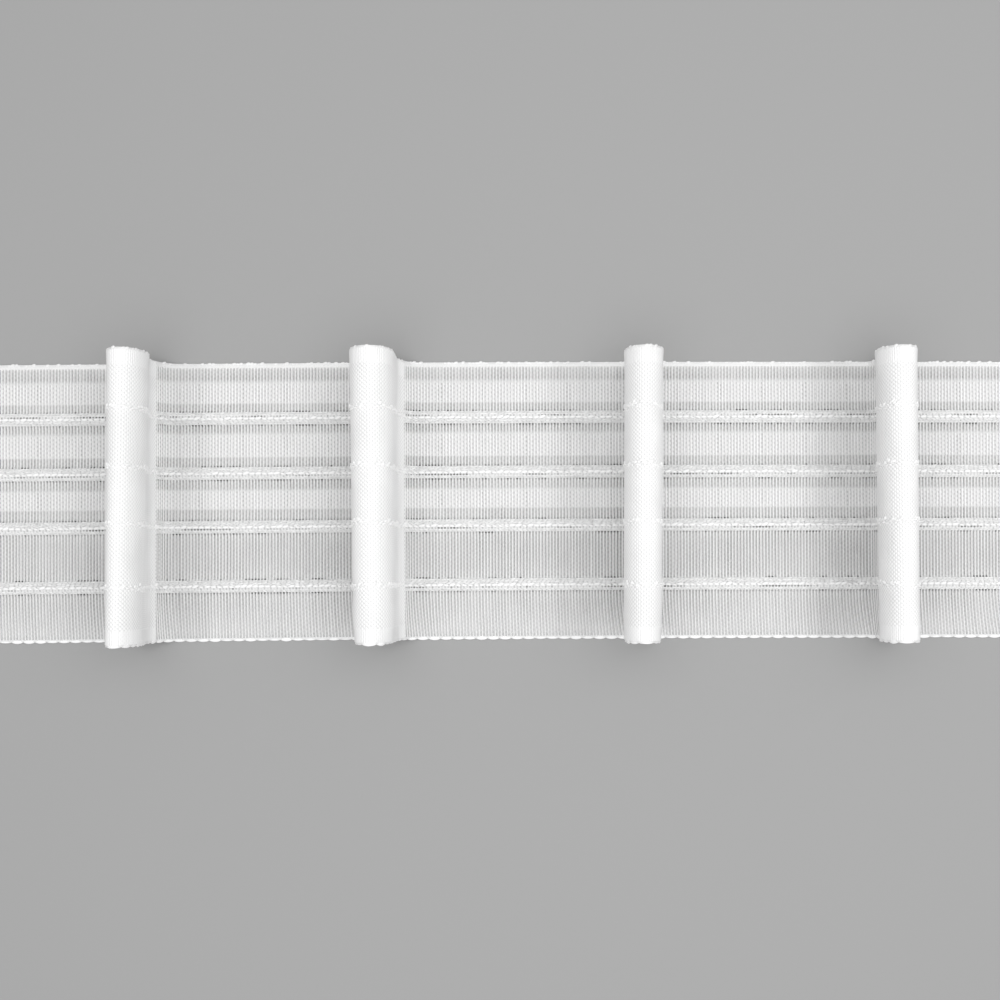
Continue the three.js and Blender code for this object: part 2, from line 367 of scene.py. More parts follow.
class Finish:
    """A material built from nodes. Most methods add a node and give its output."""

    def __init__(self, name):
        self.material = bpy.data.materials.new(name)
        self.material.use_nodes = True
        self.nodes = self.material.node_tree.nodes
        self.links = self.material.node_tree.links
        self.shader = self.nodes["Principled BSDF"]

    def put(self, socket, value):
        if isinstance(value, bpy.types.NodeSocket):
            self.links.new(value, socket)
        elif value is not None:
            socket.default_value = value

    def math(self, operation, a, b=None, c=None, clamp=False):
        node = self.nodes.new("ShaderNodeMath")
        node.operation = operation
        node.use_clamp = clamp
        for socket, value in zip(node.inputs, (a, b, c)):
            self.put(socket, value)
        return node.outputs[0]

    def times(self, *values):
        product = values[0]
        for value in values[1:]:
            product = self.math("MULTIPLY", product, value)
        return product

    def scaled(self, value, factor, plus):
        return self.math("MULTIPLY_ADD", value, factor, plus)

    def weave(self):
        """The three values of the piece's own attribute, as make_cloth, the ribs and the cords give them."""
        attribute = self.nodes.new("ShaderNodeAttribute")
        attribute.attribute_name = "weave"
        parts = self.nodes.new("ShaderNodeSeparateXYZ")
        self.links.new(attribute.outputs["Vector"], parts.inputs[0])
        return parts.outputs[0], parts.outputs[1], parts.outputs[2]

    def point(self, x, y, z=0.0):
        node = self.nodes.new("ShaderNodeCombineXYZ")
        for socket, value in zip(node.inputs, (x, y, z)):
            self.put(socket, value)
        return node.outputs[0]

    def object_point(self):
        return self.nodes.new("ShaderNodeTexCoord").outputs["Object"]

    def noise(self, vector, scale, detail=2.0):
        node = self.nodes.new("ShaderNodeTexNoise")
        self.links.new(vector, node.inputs["Vector"])
        node.inputs["Scale"].default_value = scale
        node.inputs["Detail"].default_value = detail
        return node.outputs["Fac"]

    def range(self, value, low, high, out_low=0.0, out_high=1.0):
        node = self.nodes.new("ShaderNodeMapRange")
        node.interpolation_type = "SMOOTHSTEP"
        for socket, each in zip(node.inputs, (value, low, high, out_low, out_high)):
            self.put(socket, each)
        return node.outputs[0]

    def table(self, value, stops):
        """A curve through the stops, each a place from 0 to 1 and a brightness."""
        node = self.nodes.new("ShaderNodeValToRGB")
        self.links.new(value, node.inputs[0])
        elements = node.color_ramp.elements
        while len(elements) < len(stops):
            elements.new(0.5)
        for element, (place, level) in zip(elements, stops):
            element.position = place
            element.color = (level, level, level, 1)
        return node.outputs[0]

    def mix(self, share, low, high):
        node = self.nodes.new("ShaderNodeMix")
        node.data_type = "RGBA"
        self.put(node.inputs["Factor"], share)
        self.put(node.inputs["A"], low)
        self.put(node.inputs["B"], high)
        return node.outputs["Result"]

    def wave(self, value, pitch, phase=None):
        """A cosine of the given pitch, from 0 to 1."""
        turns = self.math("MULTIPLY", value, 2 * math.pi / pitch)
        if phase is not None:
            turns = self.math("ADD", turns, phase)
        return self.math("MULTIPLY_ADD", self.math("COSINE", turns), 0.5, 0.5)

    def painted_pleat_shadow(self):
        """How dark the painted shadow beside the pleats is at this place along the tape."""
        middle_part = 0.2
        parts = self.nodes.new("ShaderNodeSeparateXYZ")
        self.links.new(self.object_point(), parts.inputs[0])
        total = 0.0
        for spot in PAINTED_PLEAT_SHADOWS:
            away = self.math("ABSOLUTE", self.math("SUBTRACT", parts.outputs[0], spot["middle"] * MM))
            reach = spot["reach"] * MM
            here = self.range(away, reach, reach * middle_part, 0.0, spot["share"])
            total = self.math("ADD", here, total)
        return total

    def paint(self, colour):
        self.put(self.shader.inputs["Base Color"], colour)

    def bump(self, height, distance, strength):
        node = self.nodes.new("ShaderNodeBump")
        node.inputs["Distance"].default_value = distance
        node.inputs["Strength"].default_value = strength
        self.links.new(height, node.inputs["Height"])
        self.links.new(node.outputs[0], self.shader.inputs["Normal"])

    def fabric(self, roughness, sheen, specular=0.25):
        self.shader.inputs["Roughness"].default_value = roughness
        self.shader.inputs["Sheen Weight"].default_value = sheen
        self.shader.inputs["Sheen Roughness"].default_value = 0.5
        self.shader.inputs["Specular IOR Level"].default_value = specular


def white(level):
    return (level, level, level, 1)


WHITE = white(0.92)
STITCH_WHITE = white(0.95)
PLEAT_WHITE = white(0.92)
EDGE_WHITE = white(0.89)
SHEER_WHITE = white(0.77)
FLAT_RIB_WHITE = white(0.95)
# Painted shade and shadow mix toward this darker white, and so do the random tone patches
SHADED_WHITE = white(0.62)
# Painted shade: the dark of the pits between ribs, and of the shadowed floor in the holes and slits
PAINTED_PIT_SHADE = white(0.07)
FLOOR_GREY = white(0.36)

# How fine the fibres are, as the scale of their noise
CLOTH_FIBRES = 2600.0
RIB_FIBRES = 3000.0
YARN_FIBRES = 2400.0


def tape_cloth_finish():
    """The ground under the ribs: looser where the bands are sheer, with holes and slits at the channels.
    The holes and slits are partly painted dark as shade, with painted shade in the pits between the ribs
    and painted shadow beside the pleats.
    """
    f = Finish("tape_cloth")
    rib, v, dense = f.weave()
    open_part = f.math("SUBTRACT", 1.0, dense)
    gap = f.math("ROUND", rib)
    between_ribs = f.wave(rib, 1.0)
    ties = f.wave(v, BEAD_PITCH, f.times(gap, math.pi))

    selvedge_fade = 0.2 * MM
    lower_start = TAPE_WIDTH - LOWER_BAND
    cover = f.table(f.times(v, 1 / TAPE_WIDTH), [(mm * MM / TAPE_WIDTH, level) for mm, level in COVER])
    below_top = f.range(v, UPPER_BAND, UPPER_BAND + selvedge_fade)
    inside = f.times(below_top, f.range(v, lower_start, lower_start - selvedge_fade))

    closest = 0.98
    open_at_tie = 0.74
    opener_between_ties = 0.22
    patch_scale = 45.0
    patch_share = 0.9
    least_loose = 0.2
    most_open = 0.95
    loose = f.times(f.math("SUBTRACT", closest, cover, clamp=True), f.times(open_part, inside))
    slot = f.times(f.range(between_ribs, 0.2, 0.7), f.scaled(ties, opener_between_ties, open_at_tie))
    looseness = f.math("ADD", f.noise(f.point(f.times(gap, 0.73), 0.0), 1.0), least_loose)
    looseness = f.scaled(f.noise(f.object_point(), patch_scale), patch_share, looseness)
    sheer = f.math("MULTIPLY", f.times(loose, slot, looseness), most_open, clamp=True)

    def lines(places, half_width):
        """Narrow lines along the tape, at distances in millimetres from the upper selvedge."""
        total = 0.0
        for place in places:
            total = f.math("ADD", f.math("COMPARE", v, place * MM, half_width), total)
        return total

    def by_gap(step, seed):
        """An uneven number for each gap, much the same for the gaps within a clump when the step is small."""
        scale_across = 90
        return f.noise(f.point(f.times(gap, step), f.times(v, scale_across), seed), scale=1.0, detail=1.0)

    def clumped(broad, fine, broad_share):
        """Broad clumps of gaps with finer ones among them, each given by its step and its seed."""
        return f.math("ADD", f.times(by_gap(*broad), broad_share), f.times(by_gap(*fine), 1 - broad_share))

    hole_places = [row["cord"] + offset for offset in HOLE_OFFSETS for row in ROWS]
    hole_share = f.range(clumped((0.13, 2.0), (0.71, 5.0), 0.6), 0.46, 0.64, 0.2, 1.0)
    holes = f.times(lines(hole_places, HOLE_HALF_WIDTH), f.range(between_ribs, 0.2, 0.5), hole_share)
    slit_places = [row["cord"] + row["slit"] for row in ROWS]
    slit_share = f.range(clumped((0.06, 8.0), (0.57, 3.0), 0.7), 0.46, 0.66, 0.0, 0.85)
    slits = f.times(lines(slit_places, SLIT_HALF_WIDTH), f.range(between_ribs, 0.1, 0.5), slit_share)
    slits = f.times(slits, open_part)
    holes_and_painted_shade = f.math("MULTIPLY", f.math("MAXIMUM", holes, slits), open_part, clamp=True)
    # The holes and slits are only partly see-through; the rest of each is painted dark as the floor's shade
    seen_through_hole = 0.4
    through = f.math("MAXIMUM", sheer, f.times(holes_and_painted_shade, seen_through_hole))
    f.put(f.shader.inputs["Alpha"], f.math("SUBTRACT", 1.0, through))

    # Painted shade in the pits between the ribs where the ties cross, deeper in every tie column
    column_half = 0.7
    pit_shade_depth = 0.3
    column_darker = 0.15
    pit_shade_spots = f.times(f.range(between_ribs, 0.3, 0.8), f.range(ties, 0.4, 0.8, 0.35, 1.0))
    column = f.math("COMPARE", f.math("MODULO", rib, TIE_COLUMN_RIBS), TIE_COLUMN_RIBS / 2, column_half)
    closed = f.times(f.range(cover, 0.85, 0.95), f.times(open_part, inside))
    colour = f.mix(inside, EDGE_WHITE, SHEER_WHITE)
    # Painted shadow beside the pleats
    colour = f.mix(f.painted_pleat_shadow(), colour, SHADED_WHITE)
    colour = f.mix(dense, colour, PLEAT_WHITE)
    colour = f.mix(f.times(pit_shade_spots, f.scaled(column, column_darker, pit_shade_depth), closed), colour, PAINTED_PIT_SHADE)
    # Painted shade in the holes and slits
    f.paint(f.mix(holes_and_painted_shade, colour, PAINTED_PIT_SHADE))
    f.bump(f.noise(f.object_point(), CLOTH_FIBRES), distance=0.04 * MM, strength=0.7)
    f.fabric(roughness=0.75, sheen=0.1)
    return f.material


def rib_finish(name, light, bead_pitch, plain_end, dip_shade_share, patch_share):
    """Weft yarn across the tape, full between the threads that tie it down and dipping under them,
    with painted shade in the dips and painted shadow beside the pleats.
    """
    plain_dips = 0.25
    bead_fade = 0.5 * MM
    tone_share = 0.08
    patch_scale = 85.0
    f = Finish(name)
    parity, v, tone = f.weave()
    dips = f.wave(v, bead_pitch, f.scaled(parity, math.pi, math.pi))
    from_middle = f.math("ABSOLUTE", f.math("SUBTRACT", v, TAPE_WIDTH / 2))
    beads_end = TAPE_WIDTH / 2 - plain_end
    beaded = f.range(from_middle, beads_end, beads_end - bead_fade, plain_dips)
    # Painted shade in the dips under the ties, less at the plain ends; the tone differs from rib to rib
    shade = f.times(f.math("POWER", dips, 2.0), f.times(beaded, dip_shade_share))
    shade = f.scaled(tone, tone_share, shade)
    patches = f.range(f.noise(f.object_point(), patch_scale, 1.0), 0.35, 0.7)
    # Random patches, and painted shadow beside the pleats
    shade = f.scaled(patches, patch_share, f.math("ADD", shade, f.painted_pleat_shadow()))
    f.paint(f.mix(shade, light, SHADED_WHITE))
    f.bump(f.noise(f.object_point(), RIB_FIBRES), distance=0.03 * MM, strength=0.8)
    f.fabric(roughness=0.68, sheen=0.15)
    return f.material


def yarn_finish(name, colour, roughness, relief, shading):
    """White filament yarn with fine fibres that catch the light, and painted shadow beside the pleats."""
    patch_scale = 700.0
    f = Finish(name)
    fibres = f.noise(f.object_point(), YARN_FIBRES, 3.0)
    patches = f.range(f.noise(f.object_point(), patch_scale), 0.35, 0.65)
    shade = f.scaled(patches, shading, f.times(fibres, shading / 2))
    # Painted shadow beside the pleats, on top of the random patches and fibres
    f.paint(f.mix(f.math("ADD", shade, f.painted_pleat_shadow()), colour, SHADED_WHITE))
    f.bump(fibres, relief, strength=0.7)
    f.fabric(roughness, sheen=0.18, specular=0.35)
    return f.material


def cord_finish():
    """Twisted strands, with the fibres of each running along it and painted shade in the grooves between
    them.
    """
    fibres_along = 900
    fibres_around = 40
    groove_shade_share = 0.45
    fibre_share = 0.25
    f = Finish("drawcord_yarn")
    along, around, _ = f.weave()
    # Painted shade in the grooves between the strands
    groove_shade = f.math("SUBTRACT", 1.0, f.wave(around, 1 / CORD_STRANDS))
    fibres = f.noise(f.point(f.times(along, fibres_along), f.times(around, fibres_around)), 1.0)
    shade = f.scaled(groove_shade, groove_shade_share, f.times(fibres, fibre_share))
    f.paint(f.mix(shade, WHITE, SHADED_WHITE))
    f.bump(fibres, distance=0.05 * MM, strength=0.8)
    f.fabric(roughness=0.55, sheen=0.2, specular=0.4)
    return f.material


def new_piece(name, points, faces, material, weave=None):
    mesh = bpy.data.meshes.new(name)
    mesh.from_pydata([tuple(p) for p in points], [], faces)
    if weave is not None:
        layer = mesh.attributes.new("weave", "FLOAT_VECTOR", "POINT")
        layer.data.foreach_set("vector", np.asarray(weave, np.float32).ravel())
    mesh.shade_smooth()
    mesh.update()
    mesh.materials.append(material)
    piece = bpy.data.objects.new(name, mesh)
    bpy.context.scene.collection.objects.link(piece)
    return piece


def guide_lines(name, lines, **extra):
    """An object of bare edges, one open line of points for each entry, that a node tree turns into yarn."""
    points = np.concatenate(lines)
    edges = []
    start = 0
    for line in lines:
        edges.extend((start + i, start + i + 1) for i in range(len(line) - 1))
        start += len(line)
    mesh = bpy.data.meshes.new(name)
    mesh.from_pydata([tuple(p) for p in points], edges, [])
    for label, values in extra.items():
        values = np.concatenate(values).astype(np.float32)
        kind, field = ("FLOAT_VECTOR", "vector") if values.ndim > 1 else ("FLOAT", "value")
        layer = mesh.attributes.new(label, kind, "POINT")
        layer.data.foreach_set(field, values.ravel())
    guide = bpy.data.objects.new(name, mesh)
    bpy.context.scene.collection.objects.link(guide)
    return guide


class Tree:
    """A Geometry Nodes tree with named inputs for its sizes, ending in Realize Instances and Set Material."""

    def __init__(self, name, sizes):
        self.group = bpy.data.node_groups.new(name, "GeometryNodeTree")
        face = self.group.interface
        face.new_socket("Geometry", in_out="INPUT", socket_type="NodeSocketGeometry")
        for label, value in sizes.items():
            kind = "NodeSocketInt" if isinstance(value, int) else "NodeSocketFloat"
            face.new_socket(label, in_out="INPUT", socket_type=kind).default_value = value
        face.new_socket("Geometry", in_out="OUTPUT", socket_type="NodeSocketGeometry")
        self.size = self.add("NodeGroupInput").outputs

    def add(self, kind, **settings):
        node = self.group.nodes.new(kind)
        for name, value in settings.items():
            setattr(node, name, value)
        return node

    def link(self, output, socket):
        self.group.links.new(output, socket)

    def finish(self, geometry, material):
        realize = self.add("GeometryNodeRealizeInstances")
        paint = self.add("GeometryNodeSetMaterial")
        paint.inputs["Material"].default_value = material
        out = self.add("NodeGroupOutput")
        self.link(geometry, realize.inputs[0])
        self.link(realize.outputs[0], paint.inputs["Geometry"])
        self.link(paint.outputs[0], out.inputs[0])
        return self.group


def yarn_tree(name, material):
    """A low ridge of yarn along each guide line, its flat side on the cloth, as stout as the guide says."""
    tree = Tree(name, {"Half Width": 0.2 * MM, "Height": 0.2 * MM})

    def named(label, kind):
        node = tree.add("GeometryNodeInputNamedAttribute", data_type=kind)
        node.inputs["Name"].default_value = label
        return node.outputs[0]

    def times(value, factor):
        node = tree.add("ShaderNodeMath", operation="MULTIPLY")
        tree.link(value, node.inputs[0])
        node.inputs[1].default_value = factor
        return node.outputs[0]

    to_curve = tree.add("GeometryNodeMeshToCurve")
    face = tree.add("GeometryNodeSetCurveNormal", mode="FREE")
    triangle = tree.add("GeometryNodeCurvePrimitiveCircle")
    form = tree.add("GeometryNodeTransform")
    scale = tree.add("ShaderNodeCombineXYZ")
    lift = tree.add("ShaderNodeCombineXYZ")
    sweep = tree.add("GeometryNodeCurveToMesh")
    soft = tree.add("GeometryNodeSetShadeSmooth")
    triangle.inputs["Resolution"].default_value = 3
    triangle.inputs["Radius"].default_value = 1.0
    sweep.inputs["Fill Caps"].default_value = True
    tree.link(times(tree.size["Height"], 2 / 3), scale.inputs["X"])
    tree.link(times(tree.size["Half Width"], 1 / math.sin(math.radians(60))), scale.inputs["Y"])
    tree.link(times(tree.size["Height"], 1 / 3), lift.inputs["X"])
    tree.link(triangle.outputs[0], form.inputs["Geometry"])
    tree.link(scale.outputs[0], form.inputs["Scale"])
    tree.link(lift.outputs[0], form.inputs["Translation"])
    tree.link(tree.size["Geometry"], to_curve.inputs["Mesh"])
    tree.link(to_curve.outputs[0], face.inputs["Curve"])
    tree.link(named("facing", "FLOAT_VECTOR"), face.inputs["Normal"])
    tree.link(face.outputs[0], sweep.inputs["Curve"])
    tree.link(form.outputs[0], sweep.inputs["Profile Curve"])
    tree.link(named("thickness", "FLOAT"), sweep.inputs["Scale"])
    tree.link(sweep.outputs[0], soft.inputs["Geometry"])
    return tree.finish(soft.outputs[0], material)


def stitch_tree(name, material, segments=6, rings=3):
    """Short rounded stitches along each guide line, each a little out of place, turned and uneven in size."""
    sizes = {"Pitch": 1.6 * MM, "Length": 1.0 * MM, "Width": 0.5 * MM, "Height": 0.4 * MM,
             "Stray": 0.05 * MM, "Turn": 0.2, "Size Spread": 0.15, "Seed": 1}
    tree = Tree(name, sizes)

    def either_side(label, middle):
        """A random number for each stitch, as far either side of the middle as the named size says."""
        least = tree.add("ShaderNodeMath", operation="SUBTRACT")
        most = tree.add("ShaderNodeMath", operation="ADD")
        chance = tree.add("FunctionNodeRandomValue", data_type="FLOAT")
        for node in (least, most):
            node.inputs[0].default_value = middle
            tree.link(tree.size[label], node.inputs[1])
        tree.link(least.outputs[0], chance.inputs[2])
        tree.link(most.outputs[0], chance.inputs[3])
        tree.link(tree.size["Seed"], chance.inputs["Seed"])
        return chance.outputs[1]

    def triple(x, y, z):
        node = tree.add("ShaderNodeCombineXYZ")
        for socket, value in zip(node.inputs, (x, y, z)):
            if value is not None:
                tree.link(value, socket)
        return node.outputs[0]

    to_curve = tree.add("GeometryNodeMeshToCurve")
    level = tree.add("GeometryNodeSetCurveNormal", mode="FREE")
    spots = tree.add("GeometryNodeCurveToPoints", mode="LENGTH")
    move = tree.add("GeometryNodeSetPosition")
    turn = tree.add("FunctionNodeEulerToRotation")
    turned = tree.add("FunctionNodeRotateRotation", rotation_space="LOCAL")
    stitch = tree.add("GeometryNodeMeshUVSphere")
    form = tree.add("GeometryNodeTransform")
    soft = tree.add("GeometryNodeSetShadeSmooth")
    place = tree.add("GeometryNodeInstanceOnPoints")
    level.inputs["Normal"].default_value = (0, 1, 0)
    tree.link(tree.size["Geometry"], to_curve.inputs["Mesh"])
    tree.link(to_curve.outputs[0], level.inputs["Curve"])
    tree.link(level.outputs[0], spots.inputs["Curve"])
    tree.link(tree.size["Pitch"], spots.inputs["Length"])
    tree.link(spots.outputs["Points"], move.inputs["Geometry"])
    tree.link(triple(None, either_side("Stray", 0), None), move.inputs["Offset"])
    stitch.inputs["Segments"].default_value = segments
    stitch.inputs["Rings"].default_value = rings
    stitch.inputs["Radius"].default_value = 0.5
    tree.link(stitch.outputs["Mesh"], form.inputs["Geometry"])
    tree.link(triple(tree.size["Width"], tree.size["Height"], tree.size["Length"]), form.inputs["Scale"])
    tree.link(form.outputs[0], soft.inputs["Geometry"])
    tree.link(triple(None, either_side("Turn", 0), None), turn.inputs[0])
    tree.link(spots.outputs["Rotation"], turned.inputs["Rotation"])
    tree.link(turn.outputs[0], turned.inputs["Rotate By"])
    tree.link(move.outputs[0], place.inputs["Points"])
    tree.link(soft.outputs[0], place.inputs["Instance"])
    tree.link(turned.outputs[0], place.inputs["Rotation"])
    tree.link(either_side("Size Spread", 1), place.inputs["Scale"])
    return tree.finish(place.outputs[0], material)


def grow(guide, tree, name, **sizes):
    """Keeps what the tree makes of the guide as a plain mesh, trimmed at the cut ends and the floor."""
    modifier = guide.modifiers.new("grow", "NODES")
    modifier.node_group = tree
    wanted = {key.replace("_", " ").title(): value for key, value in sizes.items()}
    for item in tree.interface.items_tree:
        if item.in_out == "INPUT" and item.name in wanted:
            modifier[item.identifier] = wanted.pop(item.name)
    assert not wanted, f"{name}: no such size {wanted}"
    bpy.context.view_layer.update()
    evaluated = guide.evaluated_get(bpy.context.evaluated_depsgraph_get())
    mesh = bpy.data.meshes.new_from_object(evaluated)
    mesh.name = name
    points = np.empty(len(mesh.vertices) * 3)
    mesh.vertices.foreach_get("co", points)
    points = points.reshape(-1, 3)
    points[:, 0] = np.clip(points[:, 0], -LAID_LENGTH / 2, LAID_LENGTH / 2)
    points[:, 2] = np.maximum(points[:, 2], 0)
    mesh.vertices.foreach_set("co", points.ravel())
    mesh.update()
    piece = bpy.data.objects.new(name, mesh)
    bpy.context.scene.collection.objects.link(piece)
    bare = guide.data
    bpy.data.objects.remove(guide)
    bpy.data.meshes.remove(bare)
    return piece


def make_camera():
    """Looks straight down, from an assumed height and where crowns and flats agree with the photo."""
    turn = -0.28
    nearest = 0.01
    mm_per_pixel = 0.2712
    height = 392 * MM
    axis_pixel = (545, 571)
    middle_pixel = 500
    frame_pixels = 1000
    sensor = 36
    tape_drop = 0.42 * MM
    camera = bpy.data.objects.new("camera", bpy.data.cameras.new("camera"))
    bpy.context.scene.collection.objects.link(camera)
    camera.location = (
        (axis_pixel[0] - middle_pixel) * mm_per_pixel * MM,
        (middle_pixel - axis_pixel[1]) * mm_per_pixel * MM + tape_drop,
        height,
    )
    camera.rotation_euler = (0, 0, math.radians(turn))
    lens = camera.data
    lens.sensor_width = sensor
    lens.lens = sensor * height / (frame_pixels * mm_per_pixel * MM)
    lens.shift_x = (middle_pixel - axis_pixel[0]) / frame_pixels
    lens.shift_y = (axis_pixel[1] - middle_pixel) / frame_pixels
    lens.clip_start = nearest
    bpy.context.scene.camera = camera


def make_light():
    """A broad soft light overhead, a weaker one from the right, and a pale room."""
    room_strength = 0.66
    lamps = [
        {"name": "right", "place": (0.25, 0.03, 0.48), "size": 0.4, "power": 0.55},
        {"name": "overhead", "place": (0.0, -0.03, 0.56), "size": 0.6, "power": 1.7},
    ]
    world = bpy.data.worlds.new("room")
    world.use_nodes = True
    world.node_tree.nodes["Background"].inputs["Color"].default_value = white(1)
    world.node_tree.nodes["Background"].inputs["Strength"].default_value = room_strength
    bpy.context.scene.world = world
    for each in lamps:
        light = bpy.data.lights.new(each["name"], "AREA")
        light.size = each["size"]
        light.energy = each["power"]
        lamp = bpy.data.objects.new(each["name"], light)
        lamp.location = each["place"]
        lamp.rotation_euler = facing_the_tape(each["place"])
        bpy.context.scene.collection.objects.link(lamp)
    view = bpy.context.scene.view_settings
    view.view_transform = "Standard"
    view.look = "None"


def facing_the_tape(place):
    """The turn that points a lamp at the middle of the tape."""
    x, y, z = place
    return (math.atan2(math.hypot(x, y), z), 0, math.atan2(y, x) + math.pi / 2)


def make_floor():
    """A plain pale floor, just below the tape so that the two faces don't fight."""
    half = 3.0
    drop = -0.05 * MM
    f = Finish("floor")
    f.paint(FLOOR_GREY)
    f.shader.inputs["Roughness"].default_value = 0.9
    f.shader.inputs["Specular IOR Level"].default_value = 0.1
    corners = [(-half, -half, drop), (half, -half, drop), (half, half, drop), (-half, half, drop)]
    floor = new_piece("floor", corners, [(0, 1, 2, 3)], f.material)


def cloth_lines():
    """Where the cloth's mesh has lines along the tape: close together over the channels."""
    one_side = np.array([0.85, 1.05, 1.25, 1.5, 1.75, 2.1])
    offsets = np.concatenate([-one_side[::-1], [0], one_side]) * MM
    step = 2.4 * MM
    lines = []
    start = 0.0
    for cord in CORDS_FROM_EDGE:
        end = cord + offsets[0]
        count = round((end - start) / step)
        lines.extend(start + (end - start) * np.arange(count) / count)
        lines.extend(cord + offsets[:-1])
        start = cord + offsets[-1]
    count = round((TAPE_WIDTH - start) / step)
    lines.extend(start + (TAPE_WIDTH - SCALLOP_ROOT - start) * np.arange(count + 1) / count)
    return np.array(lines)


def make_cloth():
    """The woven tape as one thin closed sheet on the folds of its solid."""
    lines = cloth_lines()
    rows = len(lines)
    columns = len(STATION_U)
    u, v = np.meshgrid(STATION_U, lines)
    upper = on_cloth(u, v, CLOTH_THICKNESS).reshape(-1, 3)
    under = on_cloth(u, v, 0.0).reshape(-1, 3)
    dense = np.broadcast_to(STATION_DENSE, u.shape)
    ribs = rib_number(u - rib_lean(u, v))
    weave = np.stack([ribs, v, dense], axis=-1).reshape(-1, 3)
    faces = []

    def up(r, c):
        return r * columns + c

    def down(r, c):
        return (rows + r) * columns + c

    for r in range(rows - 1):
        for c in range(columns - 1):
            faces.append((up(r, c), up(r + 1, c), up(r + 1, c + 1), up(r, c + 1)))
            faces.append((down(r, c), down(r, c + 1), down(r + 1, c + 1), down(r + 1, c)))
        last = columns - 1
        faces.append((up(r, 0), down(r, 0), down(r + 1, 0), up(r + 1, 0)))
        faces.append((up(r, last), up(r + 1, last), down(r + 1, last), down(r, last)))
    for c in range(columns - 1):
        last = rows - 1
        faces.append((up(0, c), up(0, c + 1), down(0, c + 1), down(0, c)))
        faces.append((up(last, c), down(last, c), down(last, c + 1), up(last, c + 1)))
    points = np.concatenate([upper, under])
    return new_piece("tape_cloth", points, faces, tape_cloth_finish(), np.concatenate([weave, weave]))


def rib_panels():
    """The stretches of the width that the ribs cross, between the channels."""
    marks = [UPPER_BAND]
    for cord in CORDS_FROM_EDGE:
        marks.extend([cord - CHANNEL_TUCK, cord + CHANNEL_TUCK])
    marks.append(TAPE_WIDTH - LOWER_BAND)
    return list(zip(marks[0::2], marks[1::2]))


def closed_share(v):
    """1 in the closed bands and 0 in the sheer ones."""
    sheer_cover = 0.75
    closed_cover = 0.95
    cover = np.interp(v, [mm * MM for mm, _ in COVER], [level for _, level in COVER])
    return smooth((cover - sheer_cover) / (closed_cover - sheer_cover))


def rib_thickness(v, parity):
    """Beaded by the ties, in turn with the next rib, and fuller where the cloth is closed."""
    closed = 1.35
    swell = 0.12
    full = 1 + (closed - 1) * closed_share(v)
    return full * (1 + swell * np.cos(2 * math.pi * v / BEAD_PITCH + math.pi * parity))


class Ribs:
    """The guide lines of some ribs, with what their yarn and its finish need along them."""

    def __init__(self):
        self.lines = []
        self.weaves = []
        self.thicknesses = []
        self.facings = []

    def add(self, number, u, v, lift, shade, thickness):
        self.lines.append(on_cloth(u, v, lift))
        self.weaves.append(np.stack([np.full_like(v, number % 2), v, shade + 0 * v], axis=-1))
        self.thicknesses.append(thickness)
        self.facings.append(outward(u + 0 * v))

    def grow(self, name, half_width, height, material):
        guide = guide_lines(name + "_guides", self.lines, weave=self.weaves, thickness=self.thicknesses,
                            facing=self.facings)
        return grow(guide, yarn_tree(name, material), name, half_width=half_width, height=height)


def rib_numbers(stretches):
    """Each stretch's ends, with the number of each rib in it."""
    for start, end in stretches:
        for number in range(round(rib_number(start)), round(rib_number(end))):
            yield start, end, number


def make_ribs(name, stretches, chance, material):
    """The ribs of the flats, each a yarn across the tape, unevenly spaced and a little out of square."""
    step = BEAD_PITCH / 2
    uneven = 0.05
    uneven_phase = 0.2
    sway_width = 0.05 * MM
    sway_length = 7 * MM
    phase_step = 0.12
    sheer_shade = 2.8
    lift = CLOTH_THICKNESS - 0.02 * MM
    ribs = Ribs()
    for start, end, number in rib_numbers(stretches):
        base = rib_place(number + 0.5) + chance.uniform(-uneven, uneven) * MM
        slant = chance.uniform(-uneven, uneven) * MM
        phase = phase_step * number + chance.uniform(-uneven_phase, uneven_phase)
        tone = chance.uniform(0, 1)
        stout = chance.uniform(0.92, 1.08)
        for low, high in rib_panels():
            v = np.arange(math.ceil(low / step), math.floor(high / step) + 1) * step
            sway = sway_width * np.sin(v / sway_length + phase) + slant * (v / TAPE_WIDTH - 0.5)
            u = np.clip(base + sway + rib_lean(base, v), start, end)
            shade = tone + sheer_shade * (1 - closed_share(v))
            ribs.add(number, u, v, lift, shade, stout * rib_thickness(v, number % 2))
    return ribs.grow(name, RIB_HALF_WIDTH, RIB_HEIGHT, material)


def make_pleat_ribs(name, stretches, chance, material):
    """The closer ribs of the pleats, beaded all over but for plain ends at the selvedges."""
    inset = 0.4 * MM
    uneven = 0.015
    bead_swell = 0.22
    bead_fade = 0.6 * MM
    lift = CLOTH_THICKNESS - PLEAT_RIB_SUNK
    step = PLEAT_BEAD_PITCH / 2
    v = np.arange(math.ceil(inset / step), math.floor((TAPE_WIDTH - inset) / step) + 1) * step
    from_edge = np.minimum(v, TAPE_WIDTH - v)
    swell = bead_swell * smooth((from_edge - PLEAT_PLAIN_END) / bead_fade + 0.5)
    ribs = Ribs()
    for _, _, number in rib_numbers(stretches):
        u = rib_place(number + 0.5) + chance.uniform(-uneven, uneven) * MM
        beads = np.cos(math.pi * (np.round(v / step) + number))
        ribs.add(number, u, v, lift, chance.uniform(0, 1), 1 + swell * beads)
    return ribs.grow(name, PLEAT_RIB_HALF_WIDTH, PLEAT_RIB_HEIGHT, material)


def along_row(start, end, v, lift):
    step = 1.2 * MM
    u = np.linspace(start, end, max(2, round((end - start) / step) + 1))
    return on_cloth(u, v, lift)


